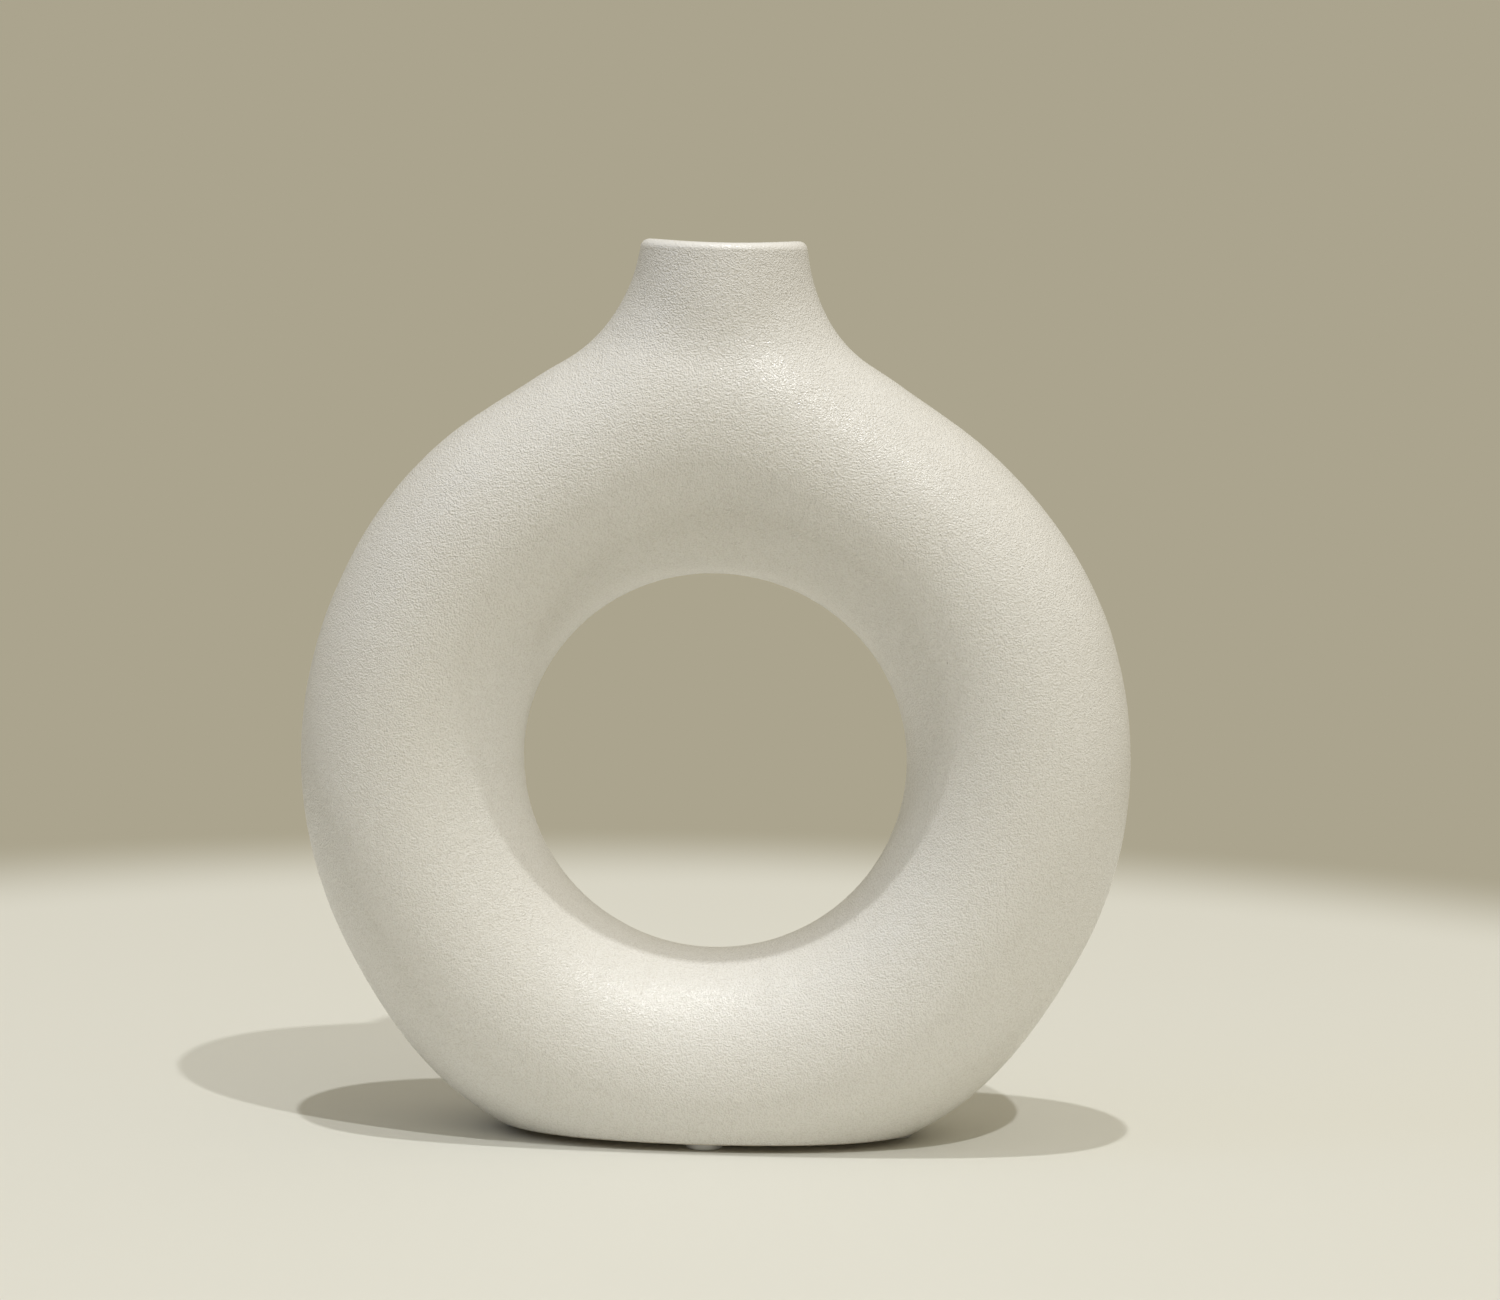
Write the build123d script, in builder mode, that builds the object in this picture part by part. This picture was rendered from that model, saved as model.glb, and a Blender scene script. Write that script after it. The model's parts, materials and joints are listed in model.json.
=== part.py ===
from build123d import *
import os
from math import atan2, cos, degrees, pi, radians, sin, sqrt, tan

# Ring-shaped flower vase: one hollow slip-cast ceramic body with a round hole through it,
# a short neck on top and a flat base, standing on four clear stick-on bumper feet.
# Millimetres. The origin is on the table under the middle of the vase, +Z is up,
# +X is to the right and the front of the vase looks along -Y.

# Ring
ring_radius = 100.0
hole_radius = 46.2
ring_depth = 58.0
foot_flare = 2.7
base_cut = 10.8
base_edge_radius = 1.8

# Shoulders and neck
crown_radius = 40.0
neck_height = 13.0
neck_root_depth = 25.5
neck_blend_radius = 34.0
mouth_radius = 19.4
lip_outer_radius = 2.0

# Inside
wall = 4.5
throat_radius = 15.0
throat_length = 14.0
throat_blend_radius = 20.0
throat_flare = 5.0
lip_inner_radius = 1.8
cut_overrun = 5.0

# Bumper feet
bumper_diameter = 9.0
bumper_height = 1.5
bumper_edge_radius = 0.6
adhesive_diameter = 8.4
adhesive_thickness = 0.2
bumper_edge_gap = 0.8

# Angles in degrees. Places round the ring count counter-clockwise from +X, seen from the front
shoulder_slope = 33.0
neck_lean = 8.0
flare_start = 28.0
flare_end = 57.0
plain_start = 75.0

# Counts
ring_stations = 44
section_steps = 16

# Heights
base_z = bumper_height + adhesive_thickness
ring_z = base_z + ring_radius - base_cut
crown_lift = (ring_radius - crown_radius) / cos(radians(shoulder_slope))
crown_z = ring_z + crown_lift + crown_radius
mouth_z = crown_z + neck_height
neck_root_z = crown_z - neck_root_depth
throat_z = mouth_z - throat_length


def ring_reach(angle):
    """Distance from the middle of the ring to its outer edge, before the neck is added.

    The edge is a circle that runs straight up each shoulder to a round crown under the neck,
    and swells a little towards the base.
    """
    lean = abs(90 - angle)
    slope = radians(shoulder_slope)
    crown_end = degrees(atan2(crown_radius * sin(slope), crown_lift + crown_radius * cos(slope)))
    if lean < crown_end:
        side = crown_lift * sin(radians(lean))
        return crown_lift * cos(radians(lean)) + sqrt(crown_radius**2 - side**2)
    if lean < shoulder_slope:
        return ring_radius / cos(slope - radians(lean))
    swell_share = min(max((lean - 90 - flare_start) / (flare_end - flare_start), 0), 1)
    return ring_radius + foot_flare * swell_share**2 * (3 - 2 * swell_share)


def section_plane(angle):
    """Plane across the ring at an angle, with its x axis pointing at the hole."""
    outward = Vector(cos(radians(angle)), 0, sin(radians(angle)))
    middle = Vector(0, 0, ring_z) + outward * (hole_radius + ring_reach(angle)) / 2
    return Plane(middle, x_dir=-outward, z_dir=Vector(0, -1, 0).cross(outward))


def section_points(angle, inset):
    """Points round the oval section at an angle, drawn in by inset, from the hole and back to it."""
    half_reach = (ring_reach(angle) - hole_radius) / 2 - inset
    half_depth = ring_depth / 2 - inset
    turns = [2 * pi * step / section_steps for step in range(section_steps + 1)]
    return [(half_reach * cos(turn), half_depth * sin(turn)) for turn in turns]


def ring_form(inset):
    """The whole ring as a solid, drawn in by inset. The stretch at the base is plain round."""
    ring_sweep = 180 + 2 * plain_start
    along = {"tangents": [(0, 1), (0, 1)], "tangent_scalars": [1, 1]}
    with BuildPart() as form:
        for station in range(ring_stations + 1):
            angle = ring_sweep * station / ring_stations - plain_start
            with BuildSketch(section_plane(angle)):
                with BuildLine():
                    Spline(*section_points(angle, inset), **along)
                make_face()
        loft()
        with BuildSketch(section_plane(180 + plain_start)):
            with BuildLine():
                Spline(*section_points(180 + plain_start, inset), **along)
            make_face()
        revolve(axis=Axis((0, 0, ring_z), (0, -1, 0)), revolution_arc=360 - ring_sweep)
    return form.part


def neck_seam(form):
    """The closed edge where the neck meets the ring."""
    return form.edges().filter_by_position(Axis.Z, neck_root_z, crown_z).sort_by(SortBy.LENGTH)[-1]


# Space inside the vase: the ring drawn in by the wall, and a throat that widens into it
with BuildPart() as vase_inside:
    add(ring_form(wall))
    with BuildSketch(Plane.XZ):
        with BuildLine():
            Polyline(
                (0, neck_root_z),
                (throat_radius + throat_flare, neck_root_z),
                (throat_radius, throat_z),
                (throat_radius, mouth_z + cut_overrun),
                (0, mouth_z + cut_overrun),
                close=True,
            )
        make_face()
    revolve(axis=Axis.Z)
    fillet(neck_seam(vase_inside), throat_blend_radius)
    split(bisect_by=Plane.XY.offset(base_z + wall), keep=Keep.TOP)

# Body: one hollow casting, fired and glazed in one piece
with BuildPart() as vase_body:
    add(ring_form(0))
    with BuildSketch(Plane.XZ):
        with BuildLine():
            Polyline(
                (0, neck_root_z),
                (mouth_radius + (mouth_z - neck_root_z) * tan(radians(neck_lean)), neck_root_z),
                (mouth_radius, mouth_z),
                (0, mouth_z),
                close=True,
            )
        make_face()
    revolve(axis=Axis.Z)
    fillet(neck_seam(vase_body), neck_blend_radius)
    split(bisect_by=Plane.XY.offset(base_z), keep=Keep.TOP)
    fillet(vase_body.faces().sort_by(Axis.Z)[0].edges(), base_edge_radius)
    fillet(vase_body.faces().sort_by(Axis.Z)[-1].edges(), lip_outer_radius)
    add(vase_inside.part, mode=Mode.SUBTRACT)
    fillet(vase_body.faces().sort_by(Axis.Z)[-1].inner_wires()[0].edges(), lip_inner_radius)
vase_body.part.label = "vase_body"

# Feet: a clear bumper at each side of the flat base, held by a thin disc of adhesive
base_flat = vase_body.faces().sort_by(Axis.Z)[0].bounding_box()
side_place = base_flat.max.X - bumper_edge_gap - bumper_diameter / 2
front_place = base_flat.max.Y - bumper_edge_gap - bumper_diameter / 2
foot_places = {
    "front": (0, -front_place),
    "back": (0, front_place),
    "left": (-side_place, 0),
    "right": (side_place, 0),
}
pieces = [vase_body.part]
for side, place in foot_places.items():
    with BuildPart() as bumper:
        with BuildSketch():
            with Locations(place):
                Circle(bumper_diameter / 2)
        extrude(amount=bumper_height)
        fillet(bumper.edges().group_by(Axis.Z)[0], bumper_edge_radius)
    bumper.part.label = f"bumper_{side}"
    with BuildPart() as adhesive:
        with BuildSketch(Plane.XY.offset(bumper_height)):
            with Locations(place):
                Circle(adhesive_diameter / 2)
        extrude(amount=adhesive_thickness)
    adhesive.part.label = f"adhesive_{side}"
    pieces += [bumper.part, adhesive.part]

os.makedirs("parts", exist_ok=True)
for piece in pieces:
    export_step(piece, f"parts/{piece.label}.step")
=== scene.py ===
import json
from math import cos, pi, radians, sin, tan

import bmesh
import bpy
import numpy as np
from mathutils import Matrix, Vector, noise
from mathutils.bvhtree import BVHTree


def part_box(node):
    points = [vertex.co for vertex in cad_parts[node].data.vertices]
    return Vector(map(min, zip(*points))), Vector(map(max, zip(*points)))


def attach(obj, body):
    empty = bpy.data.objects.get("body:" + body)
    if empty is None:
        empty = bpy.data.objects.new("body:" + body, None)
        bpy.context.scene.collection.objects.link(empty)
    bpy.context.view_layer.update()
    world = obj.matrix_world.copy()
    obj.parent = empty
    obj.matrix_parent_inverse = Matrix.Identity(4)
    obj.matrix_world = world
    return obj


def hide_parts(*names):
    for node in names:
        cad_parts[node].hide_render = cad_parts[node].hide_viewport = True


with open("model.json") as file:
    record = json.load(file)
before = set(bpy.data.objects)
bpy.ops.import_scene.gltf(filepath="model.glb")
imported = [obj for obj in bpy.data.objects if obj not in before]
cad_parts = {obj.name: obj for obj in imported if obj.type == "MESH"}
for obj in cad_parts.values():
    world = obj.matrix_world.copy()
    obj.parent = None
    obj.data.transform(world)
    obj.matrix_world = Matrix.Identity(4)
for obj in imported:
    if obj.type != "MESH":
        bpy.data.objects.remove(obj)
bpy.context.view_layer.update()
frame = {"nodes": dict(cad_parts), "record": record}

# Vase body
# One hollow casting in white stoneware. Liquid clay is poured into a plaster mould and drained when a wall
# has set. The mouth is sponged round by hand, and the piece is fired under a white matte glaze with sand.
mm = 0.001
body_low, body_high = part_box("vase_body")
openings = {opening["name"]: opening["box_m"] for opening in frame["record"]["physics"]["openings"]}
mounts = {mount["name"]: mount for mount in frame["record"]["mounts"]}
hole_low, hole_high = (Vector(corner) for corner in openings["ring_hole"])
ring_middle = (hole_low + hole_high) / 2
ring_radius = (body_high.x - body_low.x) / 2
hole_radius = 46.2 * mm
wall = 4.5 * mm
mouth_radius = 19.4 * mm
throat_radius = mounts["mouth_bore"]["dims"]["r_mm"] * mm
lip_outer_radius = 2.0 * mm
lip_inner_radius = 1.8 * mm
neck_lean = radians(8)
shoulder_lean = radians(25)
mouth_height = body_high.z
half_depth = (body_high.y - body_low.y) / 2

# The body is alike on all four sides, so one quarter is drawn and mirrored. Its quads run round the ring in
# stations, from the middle of the mouth to the middle of the base, and across the ring from the hole out.
mouth_stations = 18
outside_stations = 220
outside_steps = 84
inside_stations = 90
inside_steps = 30
stations_per_side_step = 9
lip_steps = 6
relax_rounds = 14
relax_passes = 12
seam_gap = 0.02 * mm


def lip_root(turn, radius, depth):
    """A point on the circle under the lip, at a turn from the front."""
    return (radius * sin(turn), -radius * cos(turn), mouth_height - depth)


def quarter_cage(radius, depth, inset, stations, steps):
    """A rough quarter of the body, drawn in by inset, that reaches up to a circle under the lip."""
    turns = np.linspace(0, pi / 2, mouth_stations + 1)
    edge = [lip_root(turn, radius, depth) for turn in turns]
    shoulder = ring_middle + (ring_radius - inset) * Vector((sin(shoulder_lean), 0, cos(shoulder_lean)))
    side_steps = stations // stations_per_side_step
    edge += [Vector(edge[-1]).lerp(shoulder, step / side_steps) for step in range(1, side_steps)]
    for lean in np.linspace(shoulder_lean, pi, stations - side_steps + 1):
        edge.append(ring_middle + (ring_radius - inset) * Vector((sin(lean), 0, cos(lean))))
    edge = np.array([tuple(point) for point in edge])
    leans = np.linspace(0, pi, len(edge))
    hole = np.stack([np.sin(leans), 0 * leans, np.cos(leans)], 1) * (hole_radius + inset) + ring_middle
    across = np.linspace(0, pi, steps + 1)[None, :, None]
    cage = hole[:, None] + (edge - hole)[:, None] * (1 - np.cos(across)) / 2
    cage[:, :, 1] -= (half_depth - inset) * np.sin(across[:, :, 0])
    return cage


def skin_of(node, outside):
    """The outer or the inner skin of the hollow body, for finding the nearest point on it."""
    points = [vertex.co.copy() for vertex in node.data.vertices]
    faces = []
    for face in node.data.polygons:
        middle = face.center - ring_middle
        round_ring = Vector((middle.x, 0, middle.z)).normalized() * (hole_radius + ring_radius) / 2
        up_neck = Vector((0, 0, middle.z))
        inner_point = up_neck if middle.z > ring_radius else round_ring
        if (face.normal.dot(middle - inner_point) > 0) == outside:
            faces.append(tuple(face.vertices))
    return BVHTree.FromPolygons(points, faces)


def laid_on(skin, grid):
    """The grid with each point moved to the nearest point of a skin."""
    points = [skin.find_nearest(Vector(point))[0] for point in grid.reshape(-1, 3)]
    return np.array([tuple(point) for point in points]).reshape(grid.shape)


def relaxed(skin, grid):
    """The grid drawn evenly over a skin, with its edge under the lip held and its seams on the mirrors."""
    held = np.zeros(grid.shape, bool)
    held[: mouth_stations + 1, -1] = True
    for _ in range(relax_rounds):
        for _ in range(relax_passes):
            padded = np.pad(grid, ((1, 1), (1, 1), (0, 0)), mode="reflect")
            padded[[0, -1], :, 0] *= -1
            padded[:, [0, -1], 1] *= -1
            beside = padded[:-2, 1:-1] + padded[2:, 1:-1] + padded[1:-1, :-2] + padded[1:-1, 2:]
            grid = np.where(held, grid, grid / 2 + beside / 8)
        grid = np.where(held, grid, laid_on(skin, grid))
        grid[[0, -1], :, 0] = 0
        grid[:, 0, 1] = 0
        grid[mouth_stations:, -1, 1] = 0
    return grid


cad_body = frame["nodes"]["vase_body"]
outer_root_radius = mouth_radius + lip_outer_radius * tan(neck_lean)
outside = quarter_cage(outer_root_radius, lip_outer_radius, 0, outside_stations, outside_steps)
outside = relaxed(skin_of(cad_body, True), outside)
inside = quarter_cage(throat_radius, lip_inner_radius, wall, inside_stations, inside_steps)
inside = relaxed(skin_of(cad_body, False), inside)

lip_profile = []
for turn in np.linspace(0, pi / 2, lip_steps + 1):
    radius = outer_root_radius - lip_outer_radius * (1 - cos(turn))
    lip_profile.append((radius, lip_outer_radius * (1 - sin(turn))))
for turn in np.linspace(pi / 2, 0, lip_steps + 1):
    radius = throat_radius + lip_inner_radius * (1 - cos(turn))
    lip_profile.append((radius, lip_inner_radius * (1 - sin(turn))))
lip_turns = np.linspace(0, pi / 2, mouth_stations + 1)
lip = np.array([[lip_root(turn, *place) for place in lip_profile] for turn in lip_turns])

shape = bmesh.new()
for grid in (outside, inside, lip):
    for mirror in ((1, 1, 1), (-1, 1, 1), (1, -1, 1), (-1, -1, 1)):
        points = [[shape.verts.new(point) for point in row] for row in grid * mirror]
        for row, next_row in zip(points, points[1:]):
            for step in range(len(row) - 1):
                shape.faces.new((row[step], row[step + 1], next_row[step + 1], next_row[step]))
bmesh.ops.remove_doubles(shape, verts=shape.verts, dist=seam_gap)
bmesh.ops.recalc_face_normals(shape, faces=shape.faces)

# The casting is worked and fired by hand, so it isn't quite even. The mouth was levelled with a wet sponge,
# which leaves the lip a little low at the front and the back and the skin faintly uneven. The neck swells a
# little, the shoulders lean to the left and the arch over the hole sank in the kiln. The base stays true.
lip_dip = 0.6 * mm
dip_reach = 14 * mm
sponge_depth = 0.14 * mm
sponge_width = 22 * mm
true_height = 14 * mm
shoulder_lean_left = 1.2 * mm
shoulder_height = ring_middle.z + 80 * mm
shoulder_reach = 46 * mm
neck_swell = 0.6 * mm
neck_height = mouth_height - 14 * mm
neck_reach = 20 * mm
arch_sag = 1.2 * mm
arch_reach = 24 * mm


def eased(share):
    """A share held between 0 and 1, with a soft start and end."""
    share = min(max(share, 0), 1)
    return share * share * (3 - 2 * share)


shape.normal_update()
for vertex in shape.verts:
    point = vertex.co.copy()
    near_mouth = eased(1 - (mouth_height - point.z) / dip_reach)
    near_shoulders = eased(1 - abs(point.z - shoulder_height) / shoulder_reach)
    near_neck = eased(1 - abs(point.z - neck_height) / neck_reach)
    above_base = eased((point.z - body_low.z) / true_height)
    from_axis = Vector((point.x, point.y, 0))
    from_middle = Vector((point.x, 0, point.z - ring_middle.z))
    near_hole = eased(1 - (from_middle.length - hole_radius) / arch_reach)
    under_arch = max(from_middle.normalized().z, 0) ** 2
    to_front = point.y**2 / max(from_axis.length_squared, mm**2)
    uneven = (noise.noise(point / sponge_width) + 1) / 2
    vertex.co -= vertex.normal * sponge_depth * uneven * above_base * (1 - near_mouth)
    vertex.co.x -= shoulder_lean_left * near_shoulders
    vertex.co += from_axis.normalized() * neck_swell * near_neck
    vertex.co -= from_middle.normalized() * arch_sag * near_hole * under_arch
    vertex.co.z -= lip_dip * to_front * near_mouth
for face in shape.faces:
    face.smooth = True
body_mesh = bpy.data.meshes.new("vase_body_glazed")
shape.to_mesh(body_mesh)
shape.free()
body = bpy.data.objects.new("vase_body_glazed", body_mesh)
bpy.context.scene.collection.objects.link(body)


def linear(code):
    """A colour written as an sRGB hex value, as the linear colour that a shader takes."""
    shares = [int(code[place : place + 2], 16) / 255 for place in (1, 3, 5)]
    return [s / 12.92 if s <= 0.04045 else ((s + 0.055) / 1.055) ** 2.4 for s in shares] + [1]


def add_node(owner, kind, values=None, links=None, **settings):
    """Adds a shader node with its settings, the values of its sockets and the outputs that feed them."""
    node = owner.node_tree.nodes.new("ShaderNode" + kind)
    for name, value in settings.items():
        setattr(node, name, value)
    for socket, value in (values or {}).items():
        node.inputs[socket].default_value = value
    for socket, output in (links or {}).items():
        owner.node_tree.links.new(output, node.inputs[socket])
    return node


# The colour sockets of a Mix node, which have the same names as its number sockets.
mix_from, mix_to, mixed = 6, 7, 2

# White matte stoneware glaze with fine sand in it, sprayed on from above and fired. The grains have melted
# over, like worn sandpaper under a thin glassy skin, and sparkle softly where the light catches them. They
# are drawn a little coarser than they are, so that they show. The glaze is a warm white in soft clouds with a
# few iron specks. The pits between the grains are darkened with painted shade, and the neck is greyed towards
# the mouth with painted shade. The sponge took most of the sand off the lip, and the flat base was wiped to
# bare clay.
grain_pitch = 0.42 * mm
grain_height = 0.46 * mm
grain_swirl = 0.4
grain_low, grain_high = 0.3, 0.7
melted_height = 0.14 * mm
peel_pitch = 2.6 * mm
peel_height = 0.1 * mm
cloud_pitch = 45 * mm
# Painted shade: the glaze is greyed up the neck, from this height to the mouth.
neck_shade_from = ring_middle.z + 88 * mm
neck_shade_share = 0.5
# Painted shade in the pits: where the grain falls below this level, a grey is mixed in, up to the share
# below.
pit_rim = 0.55
pit_shade_share = 0.4
speck_pitch = 14 * mm
speck_radius = 0.22 * mm
speck_share = 0.55
clay_pitch = 0.7 * mm
lip_band = 2.6 * mm
wipe_edge = 0.5 * mm
sand_below, sand_above, sand_on_lip = 0.7, 1, 0.45
pit_roughness, grain_roughness, clay_roughness = 0.55, 0.42, 0.85
glaze = bpy.data.materials.new("matte_sand_glaze")
glaze.use_nodes = True
glaze_links = glaze.node_tree.links
glaze_shader = glaze.node_tree.nodes["Principled BSDF"]
place = add_node(glaze, "TexCoord").outputs["Object"]
height = add_node(glaze, "SeparateXYZ", links={"Vector": place}).outputs["Z"]
on_lip = add_node(
    glaze,
    "MapRange",
    {"From Min": mouth_height - lip_band, "From Max": mouth_height - lip_band / 2},
    {"Value": height},
    interpolation_type="SMOOTHSTEP",
).outputs["Result"]
on_base = add_node(
    glaze,
    "MapRange",
    {"From Min": body_low.z + wipe_edge, "From Max": body_low.z + wipe_edge / 2},
    {"Value": height},
).outputs["Result"]

grain = add_node(
    glaze,
    "TexNoise",
    {"Scale": 1 / grain_pitch, "Detail": 1, "Distortion": grain_swirl},
    {"Vector": place},
).outputs["Fac"]
cloud = add_node(glaze, "TexNoise", {"Scale": 1 / cloud_pitch, "Detail": 2}, {"Vector": place})
clouded = add_node(
    glaze,
    "Mix",
    {mix_from: linear("#F0EFEB"), mix_to: linear("#EAE7E0")},
    {"Factor": cloud.outputs["Fac"]},
    data_type="RGBA",
)
# Painted shade up the neck: a grey is mixed in, more of it towards the mouth.
up_neck = add_node(
    glaze,
    "MapRange",
    {"From Min": neck_shade_from, "From Max": mouth_height, "To Max": neck_shade_share},
    {"Value": height},
    interpolation_type="SMOOTHSTEP",
).outputs["Result"]
neck_shaded = add_node(
    glaze,
    "Mix",
    {mix_to: linear("#DDDBD8")},
    {"Factor": up_neck, mix_from: clouded.outputs[mixed]},
    data_type="RGBA",
)
# Painted shade in the pits between the grains, darkest in the deepest.
painted_pit_shade = add_node(
    glaze,
    "MapRange",
    {"From Min": pit_rim, "From Max": grain_low, "To Max": pit_shade_share},
    {"Value": grain},
).outputs["Result"]
pit_shaded = add_node(
    glaze,
    "Mix",
    {mix_to: linear("#CDC8BE")},
    {"Factor": painted_pit_shade, mix_from: neck_shaded.outputs[mixed]},
    data_type="RGBA",
)
speck = add_node(glaze, "TexVoronoi", {"Scale": 1 / speck_pitch}, {"Vector": place})
speck_edge = speck_radius / speck_pitch
in_speck = add_node(
    glaze,
    "MapRange",
    {"From Min": speck_edge, "From Max": speck_edge / 2, "To Max": speck_share},
    {"Value": speck.outputs["Distance"]},
).outputs["Result"]
specked = add_node(
    glaze,
    "Mix",
    {mix_to: linear("#6E655A")},
    {"Factor": in_speck, mix_from: pit_shaded.outputs[mixed]},
    data_type="RGBA",
)
sponged = add_node(
    glaze,
    "Mix",
    {mix_to: linear("#EBE9E5")},
    {"Factor": on_lip, mix_from: specked.outputs[mixed]},
    data_type="RGBA",
)
clay = add_node(glaze, "TexNoise", {"Scale": 1 / clay_pitch, "Detail": 3}, {"Vector": place})
bare = add_node(
    glaze,
    "Mix",
    {mix_from: linear("#DCD3C3"), mix_to: linear("#CFC4B1")},
    {"Factor": clay.outputs["Fac"]},
    data_type="RGBA",
)
colour = add_node(
    glaze,
    "Mix",
    links={"Factor": on_base, mix_from: sponged.outputs[mixed], mix_to: bare.outputs[mixed]},
    data_type="RGBA",
)
glaze_links.new(colour.outputs[mixed], glaze_shader.inputs["Base Color"])

peel = add_node(glaze, "TexNoise", {"Scale": 1 / peel_pitch, "Detail": 1}, {"Vector": place})
sprayed = add_node(
    glaze,
    "MapRange",
    {
        "From Min": ring_middle.z - hole_radius,
        "From Max": ring_middle.z + ring_radius,
        "To Min": sand_below,
        "To Max": sand_above,
    },
    {"Value": height},
).outputs["Result"]
kept = add_node(glaze, "MapRange", {"To Min": 1, "To Max": sand_on_lip}, {"Value": on_lip}).outputs["Result"]
sanded = add_node(glaze, "Math", links={0: sprayed, 1: kept}, operation="MULTIPLY").outputs["Value"]
peel_bump = add_node(glaze, "Bump", {"Distance": peel_height}, {"Height": peel.outputs["Fac"]})
grain_bump = add_node(
    glaze,
    "Bump",
    {"Distance": grain_height},
    {"Height": grain, "Strength": sanded, "Normal": peel_bump.outputs["Normal"]},
)
glaze_links.new(grain_bump.outputs["Normal"], glaze_shader.inputs["Normal"])
melted_bump = add_node(
    glaze,
    "Bump",
    {"Distance": melted_height},
    {"Height": grain, "Normal": peel_bump.outputs["Normal"]},
)
glaze_links.new(melted_bump.outputs["Normal"], glaze_shader.inputs["Coat Normal"])
glaze_shader.inputs["Coat Weight"].default_value = 0.5
glaze_shader.inputs["Coat Roughness"].default_value = 0.17
satin = add_node(
    glaze,
    "MapRange",
    {"From Min": grain_low, "From Max": grain_high, "To Min": pit_roughness, "To Max": grain_roughness},
    {"Value": grain},
).outputs["Result"]
roughness = add_node(
    glaze,
    "Mix",
    {"B": clay_roughness},
    {"Factor": on_base, "A": satin},
    data_type="FLOAT",
)
glaze_links.new(roughness.outputs["Result"], glaze_shader.inputs["Roughness"])
body_mesh.materials.append(glaze)
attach(body, "root")
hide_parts("vase_body")

# Adhesive discs
# A thin round film of clear acrylic adhesive on top of each bumper, pressed against the bare clay of the
# base. It is clear and slightly cloudy, with small pale bubbles where it didn't wet the clay.
bubble_pitch = 0.6 * mm
adhesive = bpy.data.materials.new("clear_acrylic_adhesive")
adhesive.use_nodes = True
adhesive_shader = adhesive.node_tree.nodes["Principled BSDF"]
place = add_node(adhesive, "TexCoord").outputs["Object"]
bubbles = add_node(adhesive, "TexNoise", {"Scale": 1 / bubble_pitch, "Detail": 2}, {"Vector": place})
film = add_node(
    adhesive,
    "Mix",
    {mix_from: linear("#E2E0DA"), mix_to: linear("#F2F1EC")},
    {"Factor": bubbles.outputs["Fac"]},
    data_type="RGBA",
)
adhesive.node_tree.links.new(film.outputs[mixed], adhesive_shader.inputs["Base Color"])
adhesive_shader.inputs["Roughness"].default_value = 0.35
adhesive_shader.inputs["IOR"].default_value = 1.47
adhesive_shader.inputs["Transmission Weight"].default_value = 0.6

# Bumper feet
# Four low round bumpers of soft cast polyurethane with rounded lower edges, stuck under the flat base near
# its own edge, so that the clay doesn't scratch a shelf. The clear plastic is a little milky and scuffed.
haze_pitch = 1.4 * mm
cast_roughness, scuff_roughness = 0.12, 0.3
bumper = bpy.data.materials.new("clear_cast_polyurethane")
bumper.use_nodes = True
bumper_shader = bumper.node_tree.nodes["Principled BSDF"]
place = add_node(bumper, "TexCoord").outputs["Object"]
haze = add_node(bumper, "TexNoise", {"Scale": 1 / haze_pitch, "Detail": 2}, {"Vector": place})
milky = add_node(
    bumper,
    "Mix",
    {mix_from: linear("#ECEDEE"), mix_to: linear("#F7F8F8")},
    {"Factor": haze.outputs["Fac"]},
    data_type="RGBA",
)
bumper.node_tree.links.new(milky.outputs[mixed], bumper_shader.inputs["Base Color"])
scuffed = add_node(
    bumper,
    "MapRange",
    {"To Min": cast_roughness, "To Max": scuff_roughness},
    {"Value": haze.outputs["Fac"]},
)
bumper.node_tree.links.new(scuffed.outputs["Result"], bumper_shader.inputs["Roughness"])
bumper_shader.inputs["IOR"].default_value = 1.5
bumper_shader.inputs["Transmission Weight"].default_value = 0.35

for side in ("front", "back", "left", "right"):
    for piece, finish in ((f"adhesive_{side}", adhesive), (f"bumper_{side}", bumper)):
        node = frame["nodes"][piece]
        for slot in node.material_slots:
            slot.material = finish

# Stage
# A plain pale matte floor that fades into a plain warm-grey ground all round, in a pale room with two small
# lamps above and a soft fill on the left. It isn't part of the vase, and lies a hair below the feet.
floor_reach = 6.0
floor_gap = 0.02 * mm
pale_reach = 0.36
grey_reach = 0.5
ground_grey = linear("#ABA48E")
floor_mesh = bpy.data.meshes.new("floor")
ways = ((-1, -1), (1, -1), (1, 1), (-1, 1))
floor_corners = [(x * floor_reach, y * floor_reach, -floor_gap) for x, y in ways]
floor_mesh.from_pydata(floor_corners, [], [(0, 1, 2, 3)])
floor = bpy.data.objects.new("floor", floor_mesh)
bpy.context.scene.collection.objects.link(floor)
floor_paint = bpy.data.materials.new("pale_matte_laminate")
floor_paint.use_nodes = True
floor_shader = floor_paint.node_tree.nodes["Principled BSDF"]
floor_shader.inputs["Base Color"].default_value = linear("#DAD9D0")
floor_shader.inputs["Roughness"].default_value = 0.6
place = add_node(floor_paint, "TexCoord").outputs["Object"]
reach = add_node(floor_paint, "VectorMath", links={0: place}, operation="LENGTH").outputs["Value"]
faded = add_node(
    floor_paint,
    "MapRange",
    {"From Min": pale_reach, "From Max": grey_reach},
    {"Value": reach},
    interpolation_type="SMOOTHSTEP",
).outputs["Result"]
ground = add_node(floor_paint, "Emission", {"Color": ground_grey})
spread = add_node(
    floor_paint,
    "MixShader",
    links={0: faded, 1: floor_shader.outputs["BSDF"], 2: ground.outputs["Emission"]},
)
floor_output = floor_paint.node_tree.nodes["Material Output"]
floor_paint.node_tree.links.new(spread.outputs["Shader"], floor_output.inputs["Surface"])
floor_mesh.materials.append(floor_paint)

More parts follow.
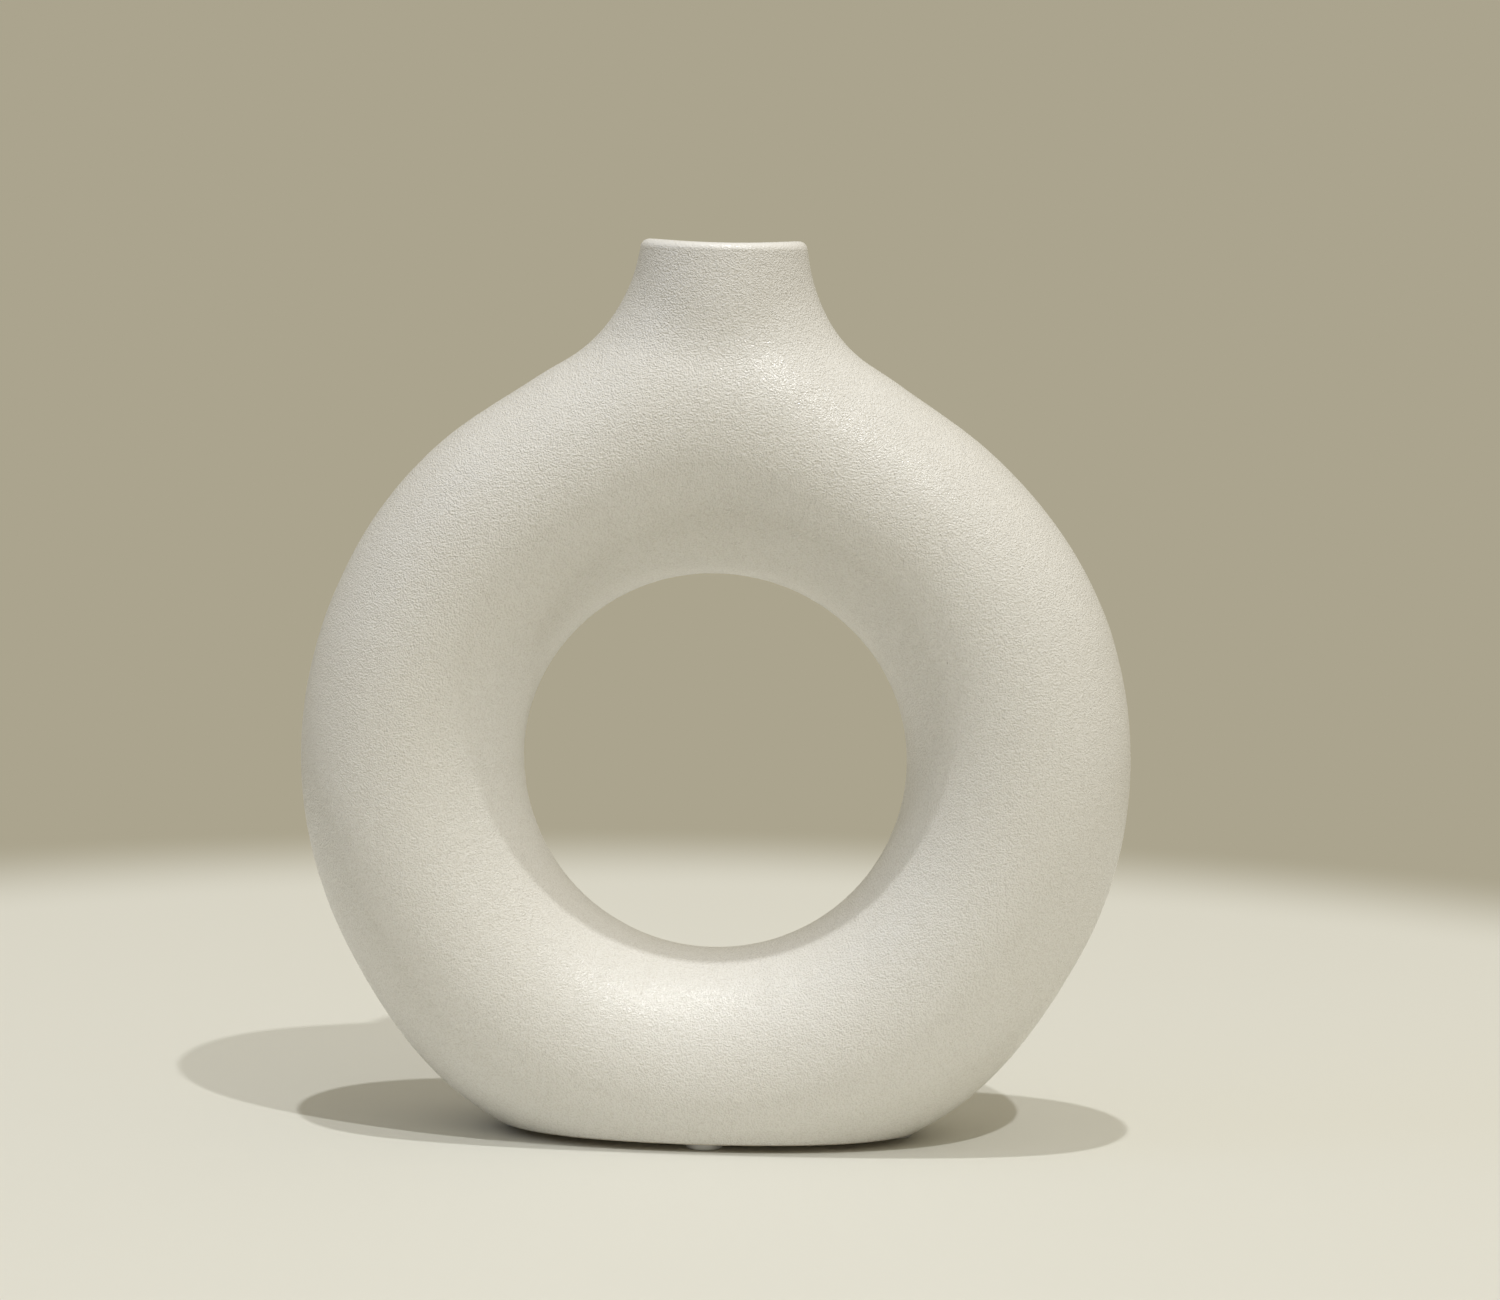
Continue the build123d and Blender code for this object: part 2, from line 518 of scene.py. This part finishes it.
ceiling_light = 0.64
side_light = 0.18
brightest_way = (0.3, 0, 0.95)
world = bpy.data.worlds.new("studio")
world.use_nodes = True
room = world.node_tree.nodes["Background"]
room.inputs["Color"].default_value = linear("#FFF5DD")
way = add_node(world, "TexCoord").outputs["Generated"]
towards = add_node(world, "VectorMath", {1: brightest_way}, {0: way}, operation="DOT_PRODUCT")
brightness = add_node(
    world,
    "MapRange",
    {"To Min": side_light, "To Max": ceiling_light},
    {"Value": towards.outputs["Value"]},
)
world.node_tree.links.new(brightness.outputs["Result"], room.inputs["Strength"])
seen = add_node(world, "Background", {"Color": ground_grey})
ray = add_node(world, "LightPath")
shown = ray.outputs["Is Camera Ray"]
for kind in ("Is Glossy Ray", "Is Transmission Ray"):
    either = add_node(world, "Math", links={0: shown, 1: ray.outputs[kind]}, operation="MAXIMUM")
    shown = either.outputs["Value"]
sky = add_node(
    world,
    "MixShader",
    links={0: shown, 1: room.outputs["Background"], 2: seen.outputs["Background"]},
)
world_output = world.node_tree.nodes["World Output"]
world.node_tree.links.new(sky.outputs["Shader"], world_output.inputs["Surface"])
bpy.context.scene.world = world

for name, place, size, power, tint in (
    ("top_lamp", (0.0, -0.58, 3.7), 0.08, 48, "#FCFDFE"),
    ("right_lamp", (1.2, -1.8, 3.5), 0.08, 56, "#FCFDFE"),
    ("left_fill", (-1.6, -0.5, 1.2), 1.2, 3, "#9CC0FF"),
):
    lamp_data = bpy.data.lights.new(name, "AREA")
    lamp_data.shape = "DISK"
    lamp_data.size = size
    lamp_data.energy = power
    lamp_data.color = linear(tint)[:3]
    lamp = bpy.data.objects.new(name, lamp_data)
    lamp.location = place
    lamp.rotation_euler = (ring_middle - lamp.location).to_track_quat("-Z", "Y").to_euler()
    bpy.context.scene.collection.objects.link(lamp)

camera_roll = radians(1.1)
camera_aim = Vector((0.008, 0, 0.1176))
camera_data = bpy.data.cameras.new("camera")
camera_data.sensor_width = 36
camera_data.lens = 94.6
camera = bpy.data.objects.new("camera", camera_data)
camera.location = (0.049, -0.941, 0.215)
upright = (camera_aim - camera.location).to_track_quat("-Z", "Y").to_matrix()
camera.rotation_euler = (upright @ Matrix.Rotation(camera_roll, 3, "Z")).to_euler()
bpy.context.scene.collection.objects.link(camera)
bpy.context.scene.camera = camera
bpy.context.scene.view_settings.view_transform = "Standard"
